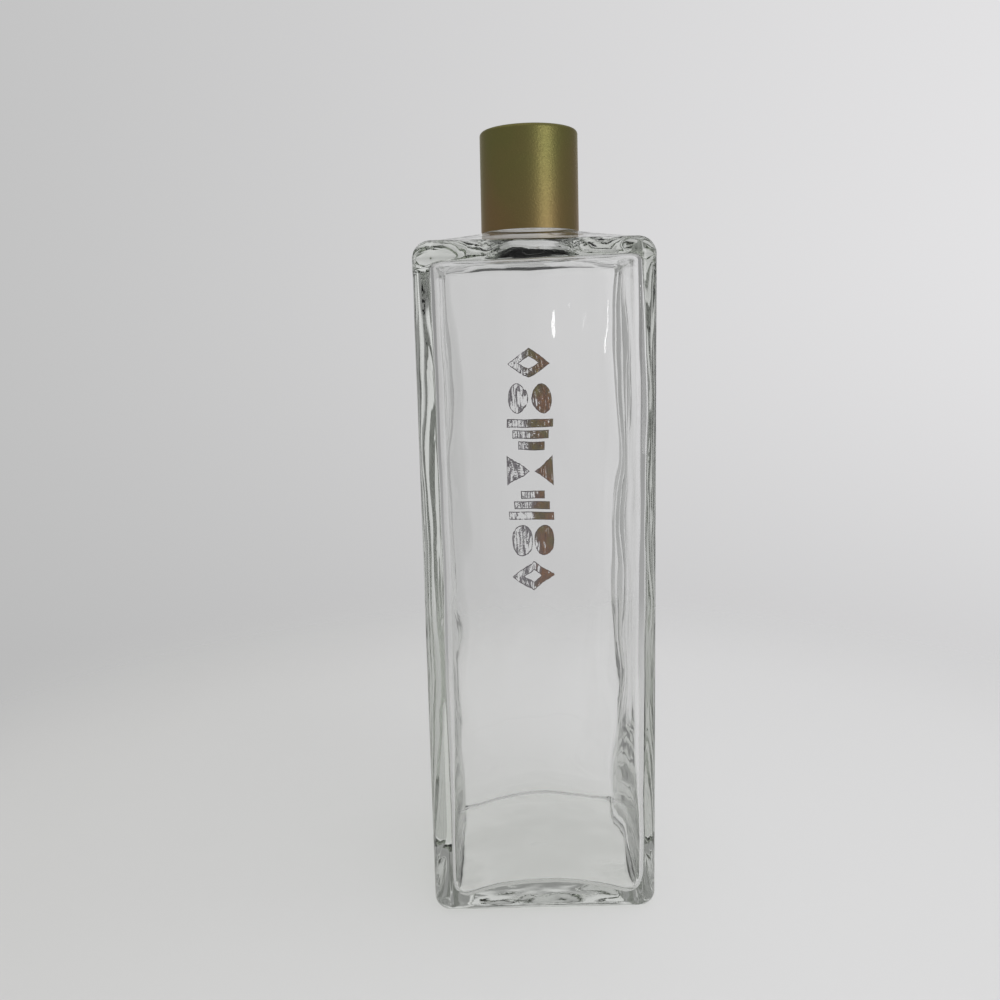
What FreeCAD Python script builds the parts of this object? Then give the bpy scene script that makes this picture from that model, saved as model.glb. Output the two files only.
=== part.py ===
import FreeCAD, Part
import math
import os
import Sketcher

# A square decanter of thick clear glass with a straight-sided metal cap.
# Millimetres, +Z up. The origin is the middle of the base, on the plane the
# decanter stands on. The front face looks along -Y.

SIZES = {
    # the outside of the glass
    "body_width": 76.0,         # across the flats, the same in depth
    "corner_radius": 6.2,       # upright corners, in plan
    "wall_height": 224.0,       # top plane of the four walls
    "shoulder_radius": 5.8,     # roll from a wall into the shoulder
    "heel_radius": 4.0,         # roll from a wall under the base
    "dome_radius": 32.0,        # where the shoulder starts to climb to the neck
    "recess_width": 65.6,       # shallow hollow that leaves a narrow ring to stand on
    "recess_corner_radius": 5.0,
    "recess_depth": 0.8,
    # the neck, mostly hidden by the cap
    "collar_radius": 16.3,
    "collar_top": 228.5,
    "neck_radius": 15.4,
    "neck_top": 259.8,
    "bore_radius": 12.0,
    "bore_mouth_radius": 17.0,  # the bore opens out where it meets the inside
    "bore_mouth_height": 222.5,
    "bore_mouth_rise": 3.0,
    # the blown space inside the glass
    "wall_thickness": 5.2,
    "inside_corner_radius": 3.4,
    "ceiling_height": 218.0,    # round the edge; from there it climbs to the bore
    "ceiling_radius": 2.0,
    "ceiling_reach": 30.0,      # distance from the axis where the climb starts
    "floor_corner": 3.5,        # the floor bulges up from its four corners
    "floor_crown": 6.5,
    "floor_reach": 46.0,        # distance from the axis where the bulge has run out
    "floor_radius": 3.0,
    # the cap, a thin metal cup over the neck
    "cap_bottom": 228.7,
    "cap_height": 32.7,
    "cap_bottom_radius": 16.6,
    "cap_top_radius": 16.4,
    "cap_wall": 0.8,
    "cap_top_wall": 1.6,
    "cap_edge_radius": 1.2,
}


def make_sheet(doc):
    """The driving dimensions, one aliased cell each."""
    sheet = doc.addObject("Spreadsheet::Sheet", "sizes")
    for row, (name, value) in enumerate(SIZES.items(), start=1):
        sheet.set("A%d" % row, name)
        sheet.set("B%d" % row, str(value))
        sheet.setAlias("B%d" % row, name)
    doc.recompute()
    return sheet


def make_body(doc, name):
    return doc.addObject("PartDesign::Body", name)


def new_sketch(body, name, plane_role):
    """A sketch on one of the body's own origin planes."""
    sketch = body.newObject("Sketcher::SketchObject", name)
    for plane in body.Origin.OriginFeatures:
        if plane.Role == plane_role:
            sketch.AttachmentSupport = [(plane, "")]
    sketch.MapMode = "FlatFace"
    return sketch


def square_sketch(body, name, width, height):
    """A square about the axis, its side and its height given as expressions."""
    sketch = new_sketch(body, name, "XY_Plane")
    half = sketch.evalExpression(width) / 2
    corners = [(-half, -half), (half, -half), (half, half), (-half, half)]
    for side in range(4):
        start = FreeCAD.Vector(*corners[side])
        end = FreeCAD.Vector(*corners[(side + 1) % 4])
        sketch.addGeometry(Part.LineSegment(start, end), False)
    for side in range(4):
        sketch.addConstraint(Sketcher.Constraint("Coincident", side, 2, (side + 1) % 4, 1))
        direction = "Vertical" if side % 2 else "Horizontal"
        sketch.addConstraint(Sketcher.Constraint(direction, side))
    sketch.addConstraint(Sketcher.Constraint("Symmetric", 0, 1, 1, 2, -1, 1))
    across = sketch.addConstraint(Sketcher.Constraint("DistanceX", 0, 1, 0, 2, 2 * half))
    along = sketch.addConstraint(Sketcher.Constraint("DistanceY", 1, 1, 1, 2, 2 * half))
    sketch.setExpression("Constraints[%d]" % across, width)
    sketch.setExpression("Constraints[%d]" % along, width)
    sketch.setExpression("AttachmentOffset.Base.z", height)
    return sketch


def arc_about_axis(start, end):
    """An arc from start to end whose centre lies on the axis (x = 0)."""
    rise = start.y - end.y
    centre_y = (start.x ** 2 + start.y ** 2 - end.x ** 2 - end.y ** 2) / (2 * rise)
    centre = FreeCAD.Vector(0, centre_y, 0)
    angles = [math.atan2(point.y - centre_y, point.x) for point in (start, end)]
    circle = Part.Circle(centre, FreeCAD.Vector(0, 0, 1), (start - centre).Length)
    return Part.ArcOfCircle(circle, min(angles), max(angles)), angles[0] < angles[1]


def profile_sketch(body, name, outline):
    """Half a section, right of the axis: corners as (radius, height) expressions.

    A corner with a third entry, "arc", starts an arc about a centre on the axis.
    """
    sketch = new_sketch(body, name, "XZ_Plane")
    points = [
        FreeCAD.Vector(sketch.evalExpression(corner[0]), sketch.evalExpression(corner[1]), 0)
        for corner in outline
    ]
    ends = []
    for index, corner in enumerate(outline):
        start = points[index]
        end = points[(index + 1) % len(points)]
        if len(corner) == 3:
            arc, forwards = arc_about_axis(start, end)
            sketch.addGeometry(arc, False)
            ends.append((1, 2) if forwards else (2, 1))
        else:
            sketch.addGeometry(Part.LineSegment(start, end), False)
            ends.append((1, 2))
    for index, corner in enumerate(outline):
        following = (index + 1) % len(outline)
        joined = Sketcher.Constraint(
            "Coincident", index, ends[index][1], following, ends[following][0])
        sketch.addConstraint(joined)
        if len(corner) == 3:
            sketch.addConstraint(Sketcher.Constraint("PointOnObject", index, 3, -2))
    for index, corner in enumerate(outline):
        place_corner(sketch, index, ends[index][0], corner, points[index])
    return sketch


def place_corner(sketch, edge, end, corner, point):
    """Holds one corner of a profile at its radius and height."""
    if abs(point.x) < 1e-9:
        sketch.addConstraint(Sketcher.Constraint("PointOnObject", edge, end, -2))
    else:
        across = sketch.addConstraint(
            Sketcher.Constraint("DistanceX", -1, 1, edge, end, point.x))
        sketch.setExpression("Constraints[%d]" % across, corner[0])
    if abs(point.y) < 1e-9:
        sketch.addConstraint(Sketcher.Constraint("PointOnObject", edge, end, -1))
    else:
        up = sketch.addConstraint(
            Sketcher.Constraint("DistanceY", -1, 1, edge, end, point.y))
        sketch.setExpression("Constraints[%d]" % up, corner[1])


def pad(body, name, sketch, length):
    feature = body.newObject("PartDesign::Pad", name)
    feature.Profile = sketch
    feature.setExpression("Length", length)
    body.Document.recompute()
    return feature


def pocket_upwards(body, name, sketch, depth):
    """Cuts a hollow up into the base, from a sketch on the plane it stands on."""
    volume_before = body.Shape.Volume
    feature = body.newObject("PartDesign::Pocket", name)
    feature.Profile = sketch
    feature.Reversed = True
    feature.setExpression("Length", depth)
    body.Document.recompute()
    if body.Shape.Volume >= volume_before:
        raise RuntimeError("%s cut nothing" % name)
    return feature


def turn(body, name, sketch, kind):
    """A full turn of a profile about the axis: kind is Revolution or Groove."""
    volume_before = 0 if body.Tip is None else body.Shape.Volume
    feature = body.newObject("PartDesign::" + kind, name)
    feature.Profile = sketch
    feature.ReferenceAxis = (sketch, ["V_Axis"])
    feature.Angle = 360
    body.Document.recompute()
    change = body.Shape.Volume - volume_before
    added = kind == "Revolution"
    if change == 0 or (change > 0) != added:
        raise RuntimeError("%s changed the volume by %.3f" % (name, change))
    return feature


def fillet(body, name, base, keep, radius):
    """Rounds the edges of base whose middle point passes the test keep."""
    edges = []
    for number, edge in enumerate(base.Shape.Edges, start=1):
        if keep(edge.CenterOfMass):
            edges.append("Edge%d" % number)
    feature = body.newObject("PartDesign::Fillet", name)
    feature.Base = (base, edges)
    feature.setExpression("Radius", radius)
    body.Document.recompute()
    return feature


def make_glass_outside(doc, sheet):
    """The moulded outside: square body, soft shoulder that climbs to the neck, hollow base."""
    body = make_body(doc, "glass_outside")
    plan = square_sketch(body, "body_plan", "sizes.body_width", "0")
    block = pad(body, "block", plan, "sizes.wall_height")
    half = sheet.body_width / 2
    corners = fillet(
        body, "corners", block,
        lambda middle: abs(middle.x) > half - 0.01 and abs(middle.y) > half - 0.01,
        "sizes.corner_radius")
    shoulder = fillet(
        body, "shoulder", corners,
        lambda middle: middle.z > sheet.wall_height - 0.01,
        "sizes.shoulder_radius")
    fillet(body, "heel", shoulder, lambda middle: middle.z < 0.01, "sizes.heel_radius")
    neck_profile = profile_sketch(body, "neck_profile", [
        ("0", "sizes.wall_height - sizes.shoulder_radius"),
        ("sizes.dome_radius", "sizes.wall_height - sizes.shoulder_radius"),
        ("sizes.dome_radius", "sizes.wall_height", "arc"),
        ("sizes.collar_radius", "sizes.collar_top"),
        ("sizes.neck_radius", "sizes.collar_top"),
        ("sizes.neck_radius", "sizes.neck_top"),
        ("0", "sizes.neck_top"),
    ])
    turn(body, "neck", neck_profile, "Revolution")
    recess_plan = square_sketch(body, "recess_plan", "sizes.recess_width", "0")
    recess = pocket_upwards(body, "recess", recess_plan, "sizes.recess_depth")
    fillet(
        body, "recess_corners", recess,
        lambda middle: 0 < middle.z < sheet.recess_depth,
        "sizes.recess_corner_radius")
    return body


def make_space_inside(doc, sheet):
    """The blown space: rounded square, bulging floor, ceiling that climbs to the bore."""
    body = make_body(doc, "space_inside")
    width = "sizes.body_width - 2 * sizes.wall_thickness"
    plan = square_sketch(body, "inside_plan", width, "sizes.floor_corner")
    block = pad(body, "inside_block", plan, "sizes.ceiling_height - sizes.floor_corner")
    half = sheet.body_width / 2 - sheet.wall_thickness
    corners = fillet(
        body, "inside_corners", block,
        lambda middle: abs(middle.x) > half - 0.01 and abs(middle.y) > half - 0.01,
        "sizes.inside_corner_radius")
    ceiling = fillet(
        body, "ceiling_edge", corners,
        lambda middle: middle.z > sheet.ceiling_height - 0.01,
        "sizes.ceiling_radius")
    floor_profile = profile_sketch(body, "floor_profile", [
        ("0", "sizes.floor_corner - 1"),
        ("sizes.floor_reach", "sizes.floor_corner - 1"),
        ("sizes.floor_reach", "sizes.floor_corner", "arc"),
        ("0", "sizes.floor_crown"),
    ])
    floor = turn(body, "floor", floor_profile, "Groove")
    # only the edges round the floor lie lower than the middle of the floor
    fillet(
        body, "floor_edge", floor,
        lambda middle: middle.z < sheet.floor_crown,
        "sizes.floor_radius")
    bore_profile = profile_sketch(body, "bore_profile", [
        ("0", "sizes.ceiling_height - sizes.ceiling_radius"),
        ("sizes.ceiling_reach", "sizes.ceiling_height - sizes.ceiling_radius"),
        ("sizes.ceiling_reach", "sizes.ceiling_height"),
        ("sizes.bore_mouth_radius", "sizes.bore_mouth_height"),
        ("sizes.bore_radius", "sizes.bore_mouth_height + sizes.bore_mouth_rise"),
        ("sizes.bore_radius", "sizes.neck_top + 1"),
        ("0", "sizes.neck_top + 1"),
    ])
    turn(body, "bore", bore_profile, "Revolution")
    return body


def make_bottle(doc, sheet):
    """The glass: the moulded outside less the blown space."""
    outside = make_glass_outside(doc, sheet)
    inside = make_space_inside(doc, sheet)
    bottle = doc.addObject("Part::Cut", "bottle")
    bottle.Base = outside
    bottle.Tool = inside
    bottle.Label = "bottle"
    doc.recompute()
    return bottle


def make_cap(doc, sheet):
    """A thin-walled metal cup, a little narrower at the top, resting on the neck's lip."""
    body = make_body(doc, "cap")
    profile = profile_sketch(body, "cap_profile", [
        ("sizes.cap_bottom_radius - sizes.cap_wall", "0"),
        ("sizes.cap_bottom_radius", "0"),
        ("sizes.cap_top_radius", "sizes.cap_height"),
        ("0", "sizes.cap_height"),
        ("0", "sizes.cap_height - sizes.cap_top_wall"),
        ("sizes.cap_top_radius - sizes.cap_wall", "sizes.cap_height - sizes.cap_top_wall"),
    ])
    shell = turn(body, "shell", profile, "Revolution")
    fillet(
        body, "top_edge", shell,
        lambda middle: middle.z > sheet.cap_height - 0.01,
        "sizes.cap_edge_radius")
    body.setExpression("Placement.Base.z", "sizes.cap_bottom")
    body.Label = "cap"
    doc.recompute()
    return body


def check_document(doc, parts):
    """Stops before writing if a feature failed or a shape is null or invalid."""
    for item in doc.Objects:
        if "Invalid" in item.State or "Error" in item.State:
            raise RuntimeError("%s failed: %s" % (item.Name, item.State))
    for part in parts:
        if part.Shape.isNull() or not part.Shape.isValid():
            raise RuntimeError("%s has no valid shape" % part.Label)


def write_parts(parts):
    os.makedirs("parts", exist_ok=True)
    for part in parts:
        part.Shape.exportStep("parts/%s.step" % part.Label)
        box = part.Shape.BoundBox
        print("%s: %.1f cm3, z %.2f to %.2f, x %.2f to %.2f, %d solid" % (
            part.Label, part.Shape.Volume / 1000, box.ZMin, box.ZMax, box.XMin, box.XMax,
            len(part.Shape.Solids)))


def main():
    doc = FreeCAD.newDocument("Decanter")
    sheet = make_sheet(doc)
    parts = [make_bottle(doc, sheet), make_cap(doc, sheet)]
    doc.recompute()
    check_document(doc, parts)
    write_parts(parts)


main()
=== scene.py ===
import math

import bmesh
import bpy
import numpy as np
from mathutils import Matrix, Vector, noise
from mathutils.geometry import tessellate_polygon


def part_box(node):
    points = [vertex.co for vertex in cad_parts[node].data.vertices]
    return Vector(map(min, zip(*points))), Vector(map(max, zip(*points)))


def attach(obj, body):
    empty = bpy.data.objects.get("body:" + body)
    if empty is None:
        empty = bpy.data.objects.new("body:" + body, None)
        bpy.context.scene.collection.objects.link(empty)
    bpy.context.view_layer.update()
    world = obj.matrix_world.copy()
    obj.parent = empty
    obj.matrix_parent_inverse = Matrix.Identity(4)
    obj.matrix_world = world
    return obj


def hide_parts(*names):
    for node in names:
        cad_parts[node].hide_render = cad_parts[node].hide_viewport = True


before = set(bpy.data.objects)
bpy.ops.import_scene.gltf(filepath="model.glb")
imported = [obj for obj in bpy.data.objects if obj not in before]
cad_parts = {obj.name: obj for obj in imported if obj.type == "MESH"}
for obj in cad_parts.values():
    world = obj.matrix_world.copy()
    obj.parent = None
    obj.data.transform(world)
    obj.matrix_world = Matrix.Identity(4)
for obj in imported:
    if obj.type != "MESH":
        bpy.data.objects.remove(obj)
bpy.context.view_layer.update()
MM = 0.001

# ---------------------------------------------------------------- the glass
# One piece of clear glass, blown in a square mould: the outside is smooth and
# nearly true, with softly sunken walls, and the inside is wavy, as molten glass
# leaves it, thick in the corners and under the bulging floor.

bottle_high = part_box("bottle")[1]

HALF_WIDTH = bottle_high.x
CORNER = 6.2 * MM
HEEL = 4 * MM
SHOULDER = 5.8 * MM
WALL_TOP = 224 * MM
COLLAR = 16.3 * MM
COLLAR_TOP = 228.5 * MM
DOME_STEEPNESS = 1.2
NECK = 15.4 * MM
NECK_TOP = bottle_high.z
LIP = 0.8 * MM
BORE = 12 * MM
BORE_MOUTH = 17 * MM
BORE_MOUTH_RISE = 3 * MM
WALL = 5.2 * MM
WALL_SINK = 0.35 * MM
INSIDE_SHIFT = 0.9 * MM
PINCH = 4 * MM
PINCH_HEIGHT = 8 * MM
PINCH_REACH = 30 * MM
SWELL = 1 * MM
INSIDE_CORNER = 3 * MM
CEILING = 218 * MM
CEILING_DOME = 4.5 * MM
CEILING_SLANT = 0.02
SLANT_START = 190 * MM
CEILING_ROLL = 2 * MM
FLOOR_CORNER = 3.5 * MM
FLOOR_CROWN = 6.5 * MM
BULGE_REACH = 60 * MM
FLOOR_ROLL = 4 * MM
FLOOR_ROLL_RISE = 9 * MM
RECESS_HALF = 32.4 * MM
RECESS_CORNER = 5 * MM
RECESS_DEPTH = 0.8 * MM

# Each set of waves inside: how deep it is, what the corners add, how wide and
# how tall its lumps are, and where in the noise it is taken from.
INSIDE_WAVES = (
    (0.7 * MM, 0, 32 * MM, 70 * MM, (7.3, 2.1, 3)),
    (0.4 * MM, 0, 14 * MM, 34 * MM, (0.3, 0.1, 0)),
    (0.12 * MM, 0.1 * MM, 5 * MM, 20 * MM, (0.7, 0.2, 0)),
    (0.03 * MM, 0.04 * MM, 2.8 * MM, 12 * MM, (0.5, 0.9, 0)),
)
OUTSIDE_WAVE = (0.05 * MM, 9 * MM, 50 * MM, (0.2, 0.6, 0))
CORNER_START = 0.55
CORNER_FULL = 0.9

SIDE_STEPS = 34
CORNER_STEPS = 22


def rounded_square(half, corner, z):
    """One ring of points round a square with rounded corners, anticlockwise from +X."""
    points = []
    flat = half - corner
    for side in range(4):
        turn = Matrix.Rotation(side * math.pi / 2, 2)
        for step in range(SIDE_STEPS):
            along = -flat + 2 * flat * step / SIDE_STEPS
            points.append(turn @ Vector((half, along)))
        for step in range(CORNER_STEPS):
            angle = math.pi / 2 * step / CORNER_STEPS
            out = Vector((math.cos(angle), math.sin(angle)))
            points.append(turn @ (Vector((flat, flat)) + corner * out))
    return np.array([(x, y, z) for x, y in points])


BODY_RING = rounded_square(HALF_WIDTH, CORNER, 0)
ROUND_RING = BODY_RING / np.linalg.norm(BODY_RING, axis=1)[:, None]


def circle(radius, z):
    """A round ring whose points lie at the angles of the body's ring."""
    ring = ROUND_RING * radius
    ring[:, 2] = z
    return ring


def between(ring_a, ring_b, share):
    """A ring part of the way from one ring to another."""
    return ring_a * (1 - share) + ring_b * share


def spread(count, first=0.0, last=1.0):
    """count evenly spaced numbers, the first one left out."""
    return np.linspace(first, last, count + 1)[1:]


def ease(t):
    """A smooth step from 0 to 1."""
    return t * t * (3 - 2 * t)


def glass_outside():
    """Rings from the middle of the base, round the heel, up the wall and over to the lip."""
    rings = []
    heel_ring = rounded_square(HALF_WIDTH - HEEL, CORNER - HEEL, 0)
    recess_ring = rounded_square(RECESS_HALF, RECESS_CORNER, RECESS_DEPTH)
    bearing_ring = rounded_square(RECESS_HALF + RECESS_DEPTH, RECESS_CORNER, 0)
    for t in spread(10):
        rings.append(between(circle(0, RECESS_DEPTH), recess_ring, t))
    for t in spread(6):
        ring = between(recess_ring, bearing_ring, t)
        ring[:, 2] = RECESS_DEPTH * (1 - ease(t))
        rings.append(ring)
    for t in spread(2):
        rings.append(between(bearing_ring, heel_ring, t))
    for t in spread(12):
        inset = HEEL * (1 - math.sin(t * math.pi / 2))
        z = HEEL * (1 - math.cos(t * math.pi / 2))
        rings.append(rounded_square(HALF_WIDTH - inset, CORNER - inset, z))
    for t in spread(104):
        z = HEEL + (WALL_TOP - SHOULDER - HEEL) * t
        rings.append(rounded_square(HALF_WIDTH, CORNER, z))
    for t in spread(16):
        inset = SHOULDER * (1 - math.cos(t * math.pi / 2))
        z = WALL_TOP - SHOULDER * (1 - math.sin(t * math.pi / 2))
        rings.append(rounded_square(HALF_WIDTH - inset, CORNER - inset, z))
    top_ring = rings[-1]
    for t in spread(26):
        ring = between(top_ring, circle(COLLAR, WALL_TOP), t)
        ring[:, 2] = WALL_TOP + (COLLAR_TOP - WALL_TOP) * t ** DOME_STEEPNESS
        rings.append(ring)
    for t in spread(3):
        rings.append(circle(COLLAR + (NECK - COLLAR) * t, COLLAR_TOP))
    for t in spread(12):
        rings.append(circle(NECK, COLLAR_TOP + (NECK_TOP - LIP - COLLAR_TOP) * t))
    for t in spread(5):
        out = NECK - LIP * (1 - math.cos(t * math.pi / 2))
        rings.append(circle(out, NECK_TOP - LIP * (1 - math.sin(t * math.pi / 2))))
    return rings


def glass_inside():
    """Rings from the lip down the bore, out over the ceiling, down the wall to the floor."""
    rings = []
    for t in spread(5):
        out = BORE + LIP * (1 - math.sin(t * math.pi / 2))
        rings.append(circle(out, NECK_TOP - LIP * (1 - math.cos(t * math.pi / 2))))
    bore_end = CEILING + CEILING_DOME + BORE_MOUTH_RISE
    for t in spread(12):
        rings.append(circle(BORE, NECK_TOP - LIP + (bore_end - NECK_TOP + LIP) * t))
    for t in spread(10):
        out = BORE + (BORE_MOUTH - BORE) * (1 - math.cos(t * math.pi / 2))
        z = bore_end - BORE_MOUTH_RISE * math.sin(t * math.pi / 2)
        rings.append(circle(out, z))
    half = HALF_WIDTH - WALL
    ceiling_ring = rounded_square(half - CEILING_ROLL, INSIDE_CORNER, CEILING)
    for t in spread(14):
        ring = between(circle(BORE_MOUTH, CEILING), ceiling_ring, t)
        ring[:, 2] = CEILING + CEILING_DOME * (1 - t) ** 1.3
        rings.append(ring)
    for t in spread(14):
        inset = CEILING_ROLL * (1 - math.sin(t * math.pi / 2))
        z = CEILING - CEILING_ROLL * (1 - math.cos(t * math.pi / 2))
        rings.append(rounded_square(half - inset, INSIDE_CORNER, z))
    wall_low = FLOOR_CORNER + FLOOR_ROLL_RISE
    for t in spread(96):
        z = CEILING - CEILING_ROLL + (wall_low - CEILING + CEILING_ROLL) * t
        rings.append(rounded_square(half, INSIDE_CORNER, z))
    for t in spread(24):
        z = wall_low - FLOOR_ROLL_RISE * math.sin(t * math.pi / 2) ** 0.9
        inset = FLOOR_ROLL * t ** 2.2
        rings.append(rounded_square(half - inset, INSIDE_CORNER, z))
    last = rings[-1]
    for t in spread(18)[:-1]:
        rings.append(between(last, circle(0, FLOOR_CORNER), t))
    for ring in rings:
        toward_corner = np.abs(ring[:, 0] * ring[:, 1]) / (half - FLOOR_ROLL) ** 2
        lift = (FLOOR_CROWN - FLOOR_CORNER) * (1 - np.minimum(toward_corner, 1) ** 2)
        fade = np.clip(1 - (ring[:, 2] - FLOOR_CORNER) / BULGE_REACH, 0, 1)
        ring[:, 2] += lift * fade
    return rings


def skin(name, rings, low_pole, high_pole):
    """A closed mesh through the rings, shut with a fan at both ends."""
    count = len(rings[0])
    points = np.concatenate(rings + [np.array([low_pole, high_pole])])
    faces = []
    for row in range(len(rings) - 1):
        for step in range(count):
            a = row * count + step
            b = row * count + (step + 1) % count
            faces.append((a, b, b + count, a + count))
    last = (len(rings) - 1) * count
    for step in range(count):
        after = (step + 1) % count
        faces.append((len(points) - 2, after, step))
        faces.append((len(points) - 1, last + step, last + after))
    mesh = bpy.data.meshes.new(name)
    mesh.from_pydata(points.tolist(), [], faces)
    mesh.validate()
    mesh.shade_smooth()
    piece = bpy.data.objects.new(name, mesh)
    bpy.context.scene.collection.objects.link(piece)
    return piece


def wave(place, across, up):
    """Smooth noise from -1 to 1, its lumps across wide and up tall."""
    return noise.noise(Vector((place.x / across, place.y / across, place.z / up)))


def cornerness(place):
    """0 along the flats, rising to 1 at the four upright corners."""
    share = min(abs(place.x), abs(place.y)) / (HALF_WIDTH - WALL)
    return ease(min(max((share - CORNER_START) / (CORNER_FULL - CORNER_START), 0), 1))


def sink(across, z):
    """How far a wall has sunk, across it from its middle line and at a height."""
    height = min(max((z - HEEL) / (WALL_TOP - SHOULDER - HEEL), 0), 1)
    middle = 1 - min(abs(across) / (0.85 * HALF_WIDTH), 1) ** 2
    return WALL_SINK * middle ** 2 * math.sin(height * math.pi) ** 0.5


def make_wavy(piece, first_inside):
    """Pinches and waves the inside, as blown glass runs, and sinks the outside walls."""
    mesh = piece.data
    half = HALF_WIDTH - WALL
    for vertex in mesh.vertices[first_inside:]:
        place = vertex.co
        if place.z < WALL_TOP:
            low = math.exp(-((place.z - PINCH_HEIGHT) / PINCH_REACH) ** 2)
            pinch = (PINCH * low - SWELL * (1 - low)) / half
            across = min(abs(place.x) / half, 1)
            along = min(abs(place.y) / half, 1)
            place.x *= 1 - pinch * (1 - along ** 2)
            place.y *= 1 - pinch * (1 - across ** 2)
            place.x += INSIDE_SHIFT * min((WALL_TOP - place.z) / (40 * MM), 1)
            near_top = ease(max((place.z - SLANT_START) / (WALL_TOP - SLANT_START), 0))
            place.z += CEILING_SLANT * place.x * near_top
    mesh.update()
    normals = [vertex.normal.copy() for vertex in mesh.vertices]
    for vertex, normal in zip(mesh.vertices, normals):
        place = vertex.co
        if vertex.index >= first_inside and place.z < WALL_TOP:
            corner = cornerness(place)
            move = 0
            for depth, added, across, up, shift in INSIDE_WAVES:
                move += (depth + added * corner) * wave(place + Vector(shift), across, up)
            vertex.co = place + normal * move
        elif place.z < WALL_TOP - SHOULDER and place.z > HEEL:
            sunk = sink(min(abs(place.x), abs(place.y)), place.z)
            depth, across, up, shift = OUTSIDE_WAVE
            uneven = depth * abs(wave(place + Vector(shift), across, up))
            vertex.co = place - normal * (sunk + uneven)


outside = glass_outside()
inside = glass_inside()
bottle = skin("bottle_glass", outside + inside, (0, 0, RECESS_DEPTH), (0, 0, FLOOR_CROWN))
make_wavy(bottle, len(outside) * len(BODY_RING))


def clear_glass():
    """Faintly grey-green clear glass. Lamps shine through it, so its shadow stays soft."""
    material = bpy.data.materials.new("clear glass")
    material.use_nodes = True
    nodes = material.node_tree.nodes
    links = material.node_tree.links
    glass = nodes["Principled BSDF"]
    glass.inputs["Base Color"].default_value = (1, 1, 1, 1)
    glass.inputs["Roughness"].default_value = 0
    glass.inputs["IOR"].default_value = 1.52
    glass.inputs["Transmission Weight"].default_value = 1
    place = nodes.new("ShaderNodeNewGeometry")
    drawn = nodes.new("ShaderNodeVectorMath")
    drawn.operation = "MULTIPLY"
    drawn.inputs[1].default_value = (1, 1, 0.08)
    streaks = nodes.new("ShaderNodeTexNoise")
    streaks.inputs["Scale"].default_value = 600
    streaks.inputs["Detail"].default_value = 1
    links.new(place.outputs["Position"], drawn.inputs[0])
    links.new(drawn.outputs["Vector"], streaks.inputs["Vector"])
    ripple = nodes.new("ShaderNodeBump")
    ripple.inputs["Strength"].default_value = 1
    ripple.inputs["Distance"].default_value = 0.01 * MM
    links.new(streaks.outputs["Fac"], ripple.inputs["Height"])
    links.new(ripple.outputs["Normal"], glass.inputs["Normal"])
    lamp_side = nodes.new("ShaderNodeBsdfTransparent")
    lamp_side.inputs["Color"].default_value = (0.97, 0.972, 0.967, 1)
    path = nodes.new("ShaderNodeLightPath")
    mix = nodes.new("ShaderNodeMixShader")
    lighting = nodes.new("ShaderNodeMath")
    lighting.operation = "MAXIMUM"
    links.new(path.outputs["Is Shadow Ray"], lighting.inputs[0])
    links.new(path.outputs["Is Diffuse Ray"], lighting.inputs[1])
    links.new(lighting.outputs["Value"], mix.inputs["Fac"])
    links.new(glass.outputs["BSDF"], mix.inputs[1])
    links.new(lamp_side.outputs["BSDF"], mix.inputs[2])
    links.new(mix.outputs["Shader"], nodes["Material Output"].inputs["Surface"])
    tint = nodes.new("ShaderNodeVolumeAbsorption")
    tint.inputs["Color"].default_value = (0.76, 0.80, 0.73, 1)
    tint.inputs["Density"].default_value = 8
    links.new(tint.outputs["Volume"], nodes["Material Output"].inputs["Volume"])
    return material


bottle.data.materials.append(clear_glass())
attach(bottle, "root")
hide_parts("bottle")

# ---------------------------------------------------------------- the cap
# A thin drawn metal cup, satin anodised in dark olive bronze, that covers the
# whole neck. Its top edge is rolled, its lower edge is cut square.

cap_low, cap_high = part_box("cap")

LINER_RADIUS = 16 * MM
LINER_TOP = cap_high.z - 1.2 * MM


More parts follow.
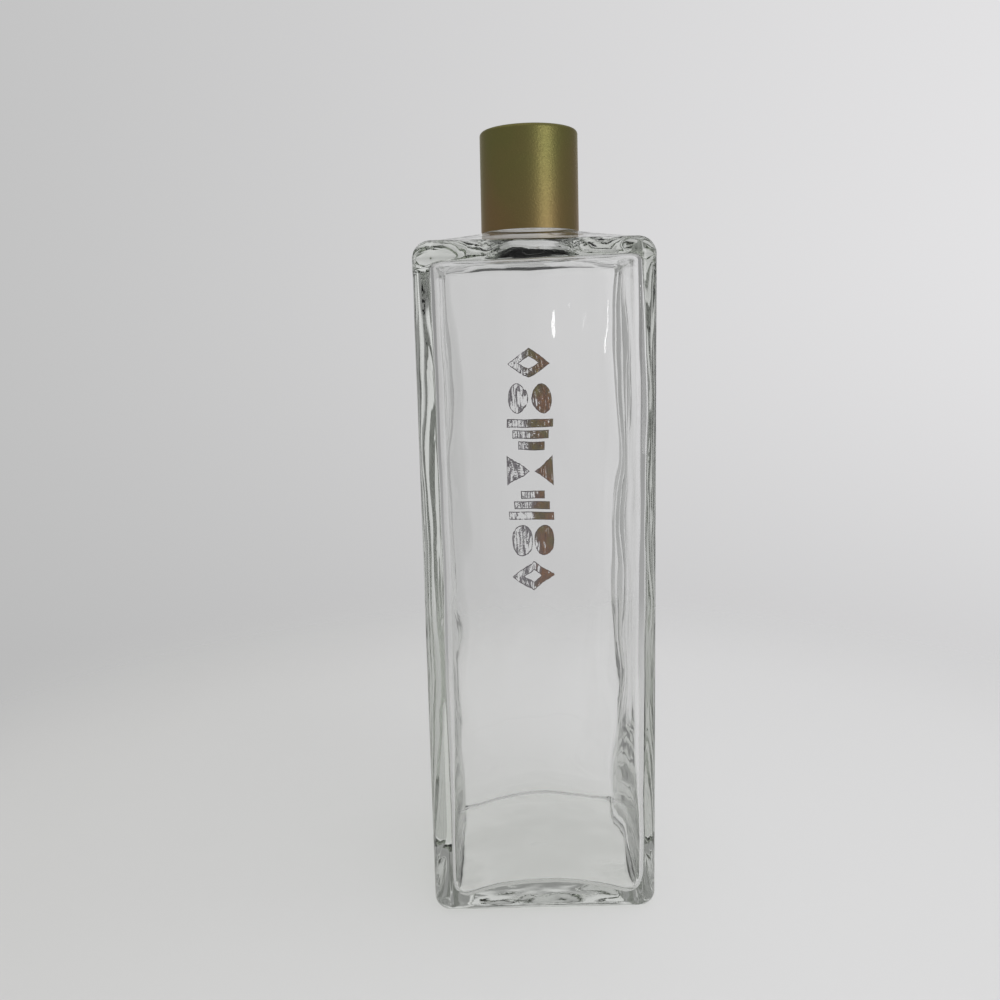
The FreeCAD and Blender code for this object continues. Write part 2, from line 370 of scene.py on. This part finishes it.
def satin_bronze():
    """Fine satin grain, unevenly coloured by the bath, round a dull black liner."""
    material = bpy.data.materials.new("satin bronze")
    material.use_nodes = True
    nodes = material.node_tree.nodes
    links = material.node_tree.links
    metal = nodes["Principled BSDF"]
    metal.inputs["Metallic"].default_value = 1

    def noise_at(scale, detail):
        place = nodes.new("ShaderNodeNewGeometry")
        stretched = nodes.new("ShaderNodeVectorMath")
        stretched.operation = "MULTIPLY"
        stretched.inputs[1].default_value = scale
        links.new(place.outputs["Position"], stretched.inputs[0])
        grain = nodes.new("ShaderNodeTexNoise")
        grain.inputs["Scale"].default_value = 1
        grain.inputs["Detail"].default_value = detail
        links.new(stretched.outputs["Vector"], grain.inputs["Vector"])
        return grain.outputs["Fac"]

    def spread_to(value, low, high, start, end):
        step = nodes.new("ShaderNodeMapRange")
        step.inputs["From Min"].default_value = low
        step.inputs["From Max"].default_value = high
        step.inputs["To Min"].default_value = start
        step.inputs["To Max"].default_value = end
        links.new(value, step.inputs["Value"])
        return step.outputs["Result"]

    clouds = noise_at((45, 45, 35), 2)
    grain = noise_at((1400, 1400, 1900), 3)
    colour = nodes.new("ShaderNodeMix")
    colour.data_type = "RGBA"
    colour.inputs["A"].default_value = (0.27, 0.25, 0.09, 1)
    colour.inputs["B"].default_value = (0.34, 0.23, 0.105, 1)
    place = nodes.new("ShaderNodeNewGeometry")
    parts = nodes.new("ShaderNodeSeparateXYZ")
    links.new(place.outputs["Position"], parts.inputs["Vector"])
    browner = nodes.new("ShaderNodeMath")
    browner.operation = "ADD"
    links.new(spread_to(clouds, 0.4, 0.65, 0, 0.5), browner.inputs[0])
    links.new(spread_to(parts.outputs["Z"], cap_high.z, cap_low.z, -0.2, 0.7), browner.inputs[1])
    browner.use_clamp = True
    links.new(browner.outputs["Value"], colour.inputs["Factor"])
    links.new(colour.outputs["Result"], metal.inputs["Base Color"])
    links.new(spread_to(grain, 0.3, 0.7, 0.38, 0.46), metal.inputs["Roughness"])
    bump = nodes.new("ShaderNodeBump")
    bump.inputs["Strength"].default_value = 1
    bump.inputs["Distance"].default_value = 0.07 * MM
    links.new(grain, bump.inputs["Height"])
    links.new(bump.outputs["Normal"], metal.inputs["Normal"])

    radius = nodes.new("ShaderNodeVectorMath")
    radius.operation = "LENGTH"
    level = nodes.new("ShaderNodeCombineXYZ")
    links.new(parts.outputs["X"], level.inputs["X"])
    links.new(parts.outputs["Y"], level.inputs["Y"])
    links.new(level.outputs["Vector"], radius.inputs[0])
    within = spread_to(radius.outputs["Value"], LINER_RADIUS, LINER_RADIUS - 0.1 * MM, 0, 1)
    under = spread_to(parts.outputs["Z"], LINER_TOP, LINER_TOP - 0.1 * MM, 0, 1)
    inner = nodes.new("ShaderNodeMath")
    inner.operation = "MULTIPLY"
    links.new(within, inner.inputs[0])
    links.new(under, inner.inputs[1])
    liner = nodes.new("ShaderNodeBsdfPrincipled")
    liner.inputs["Base Color"].default_value = (0.015, 0.015, 0.015, 1)
    liner.inputs["Roughness"].default_value = 0.5
    mix = nodes.new("ShaderNodeMixShader")
    links.new(inner.outputs["Value"], mix.inputs["Fac"])
    links.new(metal.outputs["BSDF"], mix.inputs[1])
    links.new(liner.outputs["BSDF"], mix.inputs[2])
    links.new(mix.outputs["Shader"], nodes["Material Output"].inputs["Surface"])
    return material


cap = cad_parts["cap"]
cap.data.materials.clear()
cap.data.materials.append(satin_bronze())

# ---------------------------------------------------------------- the foil
# A column of plain shapes in gold foil, stamped on the outside of the back
# wall and read through the glass. It is rubbed thin, most of all on the side
# that a hand holds, where only the dark edges and scratches of foil are left.

FOIL_HALF = 10 * MM
FOIL_STEP = 14 * MM
FOIL_TOP = 184 * MM
SHAPE_HALF = 6 * MM
FOIL_GAP = 0.02 * MM
FOIL_THICKNESS = 0.03 * MM
EDGE_WIDTH = 0.35 * MM


def lozenge_ring():
    """A lozenge with a smaller one cut out of it."""
    outer = [(-1, 0), (0, -1), (1, 0), (0, 1)]
    return [(outer, [(0.42 * x, 0.42 * z) for x, z in reversed(outer)])]


def leaf_pair():
    """Two upright leaves side by side."""
    leaves = []
    for side in (-1, 1):
        bow = [0.46 * math.sin(math.pi * step / 12) for step in range(13)]
        rise = [-math.cos(math.pi * step / 12) for step in range(13)]
        right = [(side * 0.5 + out, z) for out, z in zip(bow, rise)]
        left = [(side * 0.5 - out, z) for out, z in zip(bow[1:-1], rise[1:-1])]
        leaves.append((right + left[::-1], None))
    return leaves


def three_bars(widest):
    """Three bars, the widest at the top (1) or at the bottom (-1)."""
    bars = []
    for level, half in ((-1, 0.55), (0, 0.78), (1, 1)):
        z = widest * level * 0.72
        low, high = z - 0.27, z + 0.27
        bars.append(([(-half, low), (half, low), (half, high), (-half, high)], None))
    return bars


def bow_tie():
    """Two triangles, point to point."""
    right = ([(0.12, 0), (1, -1), (1, 1)], None)
    left = ([(-0.12, 0), (-1, 1), (-1, -1)], None)
    return [left, right]


def inset(loop, width):
    """The loop moved inwards by width, its corners mitred. Loops run anticlockwise."""
    moved = []
    for index, point in enumerate(loop):
        before = (point - loop[index - 1]).normalized()
        after = (loop[(index + 1) % len(loop)] - point).normalized()
        inward = Vector((-before.y - after.y, before.x + after.x)).normalized()
        mitre = max(inward.dot(Vector((-after.y, after.x))), 0.4)
        moved.append(point + inward * width / mitre)
    return moved


def foil_sheet(name, loops_and_faces):
    """A thin closed sheet of foil that follows the back wall."""
    sheet = bmesh.new()
    for loops, faces in loops_and_faces:
        corners = [sheet.verts.new((point.x, 0, point.y)) for loop in loops for point in loop]
        for face in faces:
            sheet.faces.new([corners[index] for index in face])
    for _ in range(6):
        long_edges = [edge for edge in sheet.edges if edge.calc_length() > 1.5 * MM]
        if long_edges:
            bmesh.ops.subdivide_edges(sheet, edges=long_edges, cuts=1)
    bmesh.ops.triangulate(sheet, faces=sheet.faces)
    bmesh.ops.recalc_face_normals(sheet, faces=sheet.faces)
    for vertex in sheet.verts:
        vertex.co.y = HALF_WIDTH - sink(vertex.co.x, vertex.co.z) + FOIL_GAP
    raised = bmesh.ops.extrude_face_region(sheet, geom=sheet.faces[:])
    for item in raised["geom"]:
        if isinstance(item, bmesh.types.BMVert):
            item.co.y += FOIL_THICKNESS
    bmesh.ops.recalc_face_normals(sheet, faces=sheet.faces)
    mesh = bpy.data.meshes.new(name)
    sheet.to_mesh(mesh)
    sheet.free()
    piece = bpy.data.objects.new(name, mesh)
    bpy.context.scene.collection.objects.link(piece)
    return piece


def strip_faces(first, count):
    """Faces between two loops of count corners each, listed one after the other."""
    faces = []
    for index in range(count):
        after = (index + 1) % count
        faces.append((first + index, first + after, first + count + after, first + count + index))
    return faces


edges = []
fills = []
shapes = [
    lozenge_ring(), leaf_pair(), three_bars(1), bow_tie(), three_bars(-1), leaf_pair(), lozenge_ring(),
]
for number, shape in enumerate(shapes):
    middle = Vector((0, FOIL_TOP - number * FOIL_STEP))
    for outer, hole in shape:
        rims = []
        for loop in (outer, hole):
            if loop:
                rims.append([middle + Vector((x * FOIL_HALF, z * SHAPE_HALF)) for x, z in loop])
        inner = [inset(rim, EDGE_WIDTH) for rim in rims]
        for rim, inner_rim in zip(rims, inner):
            edges.append(([rim, inner_rim], strip_faces(0, len(rim))))
        triangles = tessellate_polygon([[point.to_3d() for point in loop] for loop in inner])
        fills.append((inner, triangles))
foil_edges = foil_sheet("foil_edges", edges)
foil_faces = foil_sheet("foil_faces", fills)


def worn_foil(name, kept_left, kept_right, dark):
    """Gold foil rubbed to streaks on the left and brown on the right."""
    material = bpy.data.materials.new(name)
    material.use_nodes = True
    nodes = material.node_tree.nodes
    links = material.node_tree.links
    foil = nodes["Principled BSDF"]
    place = nodes.new("ShaderNodeTexCoord")

    def noise_at(scale, turn, detail):
        mapping = nodes.new("ShaderNodeMapping")
        mapping.inputs["Scale"].default_value = scale
        mapping.inputs["Rotation"].default_value = (0, turn, 0)
        links.new(place.outputs["Object"], mapping.inputs["Vector"])
        grain = nodes.new("ShaderNodeTexNoise")
        grain.inputs["Scale"].default_value = 1
        grain.inputs["Detail"].default_value = detail
        links.new(mapping.outputs["Vector"], grain.inputs["Vector"])
        return grain.outputs["Fac"]

    def map_range(value, low, high, start, end):
        step = nodes.new("ShaderNodeMapRange")
        step.interpolation_type = "SMOOTHSTEP"
        step.inputs["From Min"].default_value = low
        step.inputs["From Max"].default_value = high
        step.inputs["To Min"].default_value = start
        step.inputs["To Max"].default_value = end
        links.new(value, step.inputs["Value"])
        return step.outputs["Result"]

    def mixed(share, first, second, kind="RGBA"):
        mix = nodes.new("ShaderNodeMix")
        mix.data_type = kind
        links.new(share, mix.inputs["Factor"])
        for socket, value in ((mix.inputs["A"], first), (mix.inputs["B"], second)):
            if isinstance(value, (tuple, float, int)):
                socket.default_value = value
            else:
                links.new(value, socket)
        return mix.outputs["Result"]

    def sum_of(first, second, kind="ADD"):
        adding = nodes.new("ShaderNodeMath")
        adding.operation = kind
        for socket, value in zip(adding.inputs, (first, second)):
            if isinstance(value, (float, int)):
                socket.default_value = value
            else:
                links.new(value, socket)
        return adding.outputs["Value"]

    parts = nodes.new("ShaderNodeSeparateXYZ")
    links.new(place.outputs["Object"], parts.inputs["Vector"])
    patches = noise_at((120, 120, 90), 0.0, 2)
    wandering = sum_of(parts.outputs["X"], sum_of(sum_of(patches, -0.5), 14 * MM, "MULTIPLY"))
    right = map_range(wandering, -2 * MM, 3 * MM, 0, 1)
    streaks = noise_at((1500, 1500, 260), 0.25, 3)
    grain = noise_at((2600, 2600, 2600), 0.0, 2)
    wear = mixed(map_range(patches, 0.3, 0.7, 0.2, 0.5), streaks, grain, "FLOAT")
    kept = mixed(right, kept_left, kept_right, "FLOAT")
    shown = map_range(sum_of(wear, kept), 0.97, 1.03, 0, 1)
    links.new(shown, foil.inputs["Alpha"])
    silver = mixed(map_range(streaks, 0.45, 0.66, 0, 1), (0.06, 0.045, 0.06, 1), (0.36, 0.33, 0.37, 1))
    gold = mixed(map_range(patches, 0.4, 0.6, 0, 1), (0.24, 0.10, 0.035, 1), (0.17, 0.13, 0.03, 1))
    bright = mixed(right, silver, gold)
    scratches = map_range(streaks, 0.42, 0.6, 0, 0.75)
    scratched = sum_of(scratches, map_range(grain, 0.35, 0.65, dark, 1), "MULTIPLY")
    colour = mixed(sum_of(scratched, dark, "MAXIMUM"), bright, (0.045, 0.035, 0.04, 1))
    links.new(colour, foil.inputs["Base Color"])
    foil.inputs["Metallic"].default_value = 0.55
    links.new(map_range(grain, 0.3, 0.7, 0.3, 0.5), foil.inputs["Roughness"])
    return material


foil_edges.data.materials.append(worn_foil("foil edge", 0.6, 0.78, 0.55))
foil_faces.data.materials.append(worn_foil("foil face", 0.48, 0.62, 0.0))
for piece in (foil_edges, foil_faces):
    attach(piece, "root")

# ---------------------------------------------------------------- the studio
# A pale round table that fades into an even pale surround, with soft light from
# above and from a window on the right. A small bright lamp beside the camera
# puts the white glints on the wavy walls.

FLOOR_RADIUS = 0.44
FADE_START = 0.2


def pale_floor():
    """Matt pale grey with painted side light, a little lighter to the right and painted shade to the
    left, that fades out toward its rim.
    """
    material = bpy.data.materials.new("pale floor")
    material.use_nodes = True
    nodes = material.node_tree.nodes
    links = material.node_tree.links
    paint = nodes["Principled BSDF"]
    paint.inputs["Roughness"].default_value = 0.8
    place = nodes.new("ShaderNodeNewGeometry")
    parts = nodes.new("ShaderNodeSeparateXYZ")
    links.new(place.outputs["Position"], parts.inputs["Vector"])
    # Painted light: the floor's colour runs from darker on the left to lighter on the right, as if lit
    # from the right.
    across = nodes.new("ShaderNodeMapRange")
    across.inputs["From Min"].default_value = -0.2
    across.inputs["From Max"].default_value = 0.08
    links.new(parts.outputs["X"], across.inputs["Value"])
    painted_light_tone = nodes.new("ShaderNodeMix")
    painted_light_tone.data_type = "RGBA"
    painted_light_tone.inputs["A"].default_value = (0.6, 0.6, 0.59, 1)
    painted_light_tone.inputs["B"].default_value = (0.665, 0.665, 0.665, 1)
    links.new(across.outputs["Result"], painted_light_tone.inputs["Factor"])
    links.new(painted_light_tone.outputs["Result"], paint.inputs["Base Color"])
    flat = nodes.new("ShaderNodeVectorMath")
    flat.operation = "LENGTH"
    links.new(place.outputs["Position"], flat.inputs[0])
    fade = nodes.new("ShaderNodeMapRange")
    fade.interpolation_type = "SMOOTHERSTEP"
    fade.inputs["From Min"].default_value = FADE_START
    fade.inputs["From Max"].default_value = FLOOR_RADIUS
    links.new(flat.outputs["Value"], fade.inputs["Value"])
    gone = nodes.new("ShaderNodeBsdfTransparent")
    mix = nodes.new("ShaderNodeMixShader")
    links.new(fade.outputs["Result"], mix.inputs["Fac"])
    links.new(paint.outputs["BSDF"], mix.inputs[1])
    links.new(gone.outputs["BSDF"], mix.inputs[2])
    links.new(mix.outputs["Shader"], nodes["Material Output"].inputs["Surface"])
    return material


bpy.ops.mesh.primitive_circle_add(vertices=96, radius=FLOOR_RADIUS, fill_type="NGON")
table = bpy.context.object
table.name = "floor"
table.location.z = -0.1 * MM
table.data.materials.append(pale_floor())


def ramp(nodes, links, value, start, end):
    """A smooth step from 0 at start to 1 at end."""
    step = nodes.new("ShaderNodeMapRange")
    step.interpolation_type = "SMOOTHSTEP"
    step.inputs["From Min"].default_value = start
    step.inputs["From Max"].default_value = end
    links.new(value, step.inputs["Value"])
    return step.outputs["Result"]


def blend(nodes, links, share, first, second):
    """A colour between two, each a plain colour or another node's output."""
    mix = nodes.new("ShaderNodeMix")
    mix.data_type = "RGBA"
    links.new(share, mix.inputs["Factor"])
    for socket, colour in ((mix.inputs["A"], first), (mix.inputs["B"], second)):
        if isinstance(colour, tuple):
            socket.default_value = colour
        else:
            links.new(colour, socket)
    return mix.outputs["Result"]


def surround():
    """Pale all round to the eye. Mirrored rays see a dimmer room in front."""
    world = bpy.data.worlds.new("studio")
    world.use_nodes = True
    nodes = world.node_tree.nodes
    links = world.node_tree.links
    toward = nodes.new("ShaderNodeTexCoord")
    parts = nodes.new("ShaderNodeSeparateXYZ")
    links.new(toward.outputs["Generated"], parts.inputs["Vector"])
    across = nodes.new("ShaderNodeMapRange")
    across.inputs["From Min"].default_value = -0.5
    across.inputs["From Max"].default_value = 0.5
    links.new(parts.outputs["X"], across.inputs["Value"])
    pale = blend(nodes, links, across.outputs["Result"], (0.53, 0.53, 0.53, 1), (0.78, 0.775, 0.785, 1))
    lower = ramp(nodes, links, parts.outputs["Z"], 0.1, -0.9)
    backdrop = blend(nodes, links, lower, pale, (0.4, 0.4, 0.4, 1))
    ahead = ramp(nodes, links, parts.outputs["Y"], 0.78, 0.88)
    level = ramp(nodes, links, parts.outputs["Z"], 0.5, 0.32)
    behind = nodes.new("ShaderNodeMath")
    behind.operation = "MULTIPLY"
    links.new(ahead, behind.inputs[0])
    links.new(level, behind.inputs[1])
    above = ramp(nodes, links, parts.outputs["Z"], 0.5, 0.8)
    below = ramp(nodes, links, parts.outputs["Z"], -0.05, -0.25)
    room = blend(nodes, links, above, (0.28, 0.28, 0.28, 1), (0.5, 0.5, 0.5, 1))
    room = blend(nodes, links, below, room, (0.36, 0.36, 0.36, 1))
    room = blend(nodes, links, behind.outputs["Value"], room, backdrop)
    path = nodes.new("ShaderNodeLightPath")
    mirrored = nodes.new("ShaderNodeMath")
    mirrored.operation = "GREATER_THAN"
    mirrored.inputs[1].default_value = 0.5
    links.new(path.outputs["Glossy Depth"], mirrored.inputs[0])
    seen = blend(nodes, links, mirrored.outputs["Value"], backdrop, room)
    links.new(seen, nodes["Background"].inputs["Color"])
    nodes["Background"].inputs["Strength"].default_value = 1
    return world


bpy.context.scene.world = surround()


def soft_light(name, place, target, size, power):
    """A rectangular lamp that faces its target."""
    lamp = bpy.data.lights.new(name, "AREA")
    lamp.shape = "RECTANGLE"
    lamp.size = size[0]
    lamp.size_y = size[1]
    lamp.energy = power
    holder = bpy.data.objects.new(name, lamp)
    holder.location = place
    holder.rotation_euler = (Vector(target) - Vector(place)).to_track_quat("-Z", "Y").to_euler()
    bpy.context.scene.collection.objects.link(holder)
    return holder


overhead = soft_light("overhead", (0.25, -0.15, 1.2), (0, -0.1, 0), (0.7, 0.7), 6)
overhead.visible_glossy = False
overhead.visible_transmission = False
window = soft_light("side window", (0.55, -0.75, 0.34), (0, 0, 0.2), (0.4, 0.6), 1.4)
window.visible_transmission = False
soft_light("glint", (0.26, -0.9, 0.235), (0, 0, 0.17), (0.01, 0.045), 0.025)

# ---------------------------------------------------------------- the camera
# It stands close in front, three quarters of the way up, and looks a little down.

EYE_PLACE = (-0.0124, -0.3393, 0.1941)
TILT = math.radians(90 - 9.61)
ROLL = math.radians(-1.35)

eye = bpy.data.cameras.new("camera")
eye.lens = 34.7
camera = bpy.data.objects.new("camera", eye)
camera.matrix_world = (
    Matrix.Translation(EYE_PLACE)
    @ Matrix.Rotation(TILT, 4, "X")
    @ Matrix.Rotation(ROLL, 4, "Z")
)
bpy.context.scene.collection.objects.link(camera)
bpy.context.scene.camera = camera
bpy.context.scene.view_settings.view_transform = "Standard"

# Light crosses the two skins of the glass many times before it comes out.
bpy.context.scene.cycles.max_bounces = 24
bpy.context.scene.cycles.glossy_bounces = 16
bpy.context.scene.cycles.transmission_bounces = 24
bpy.context.scene.cycles.transparent_max_bounces = 24
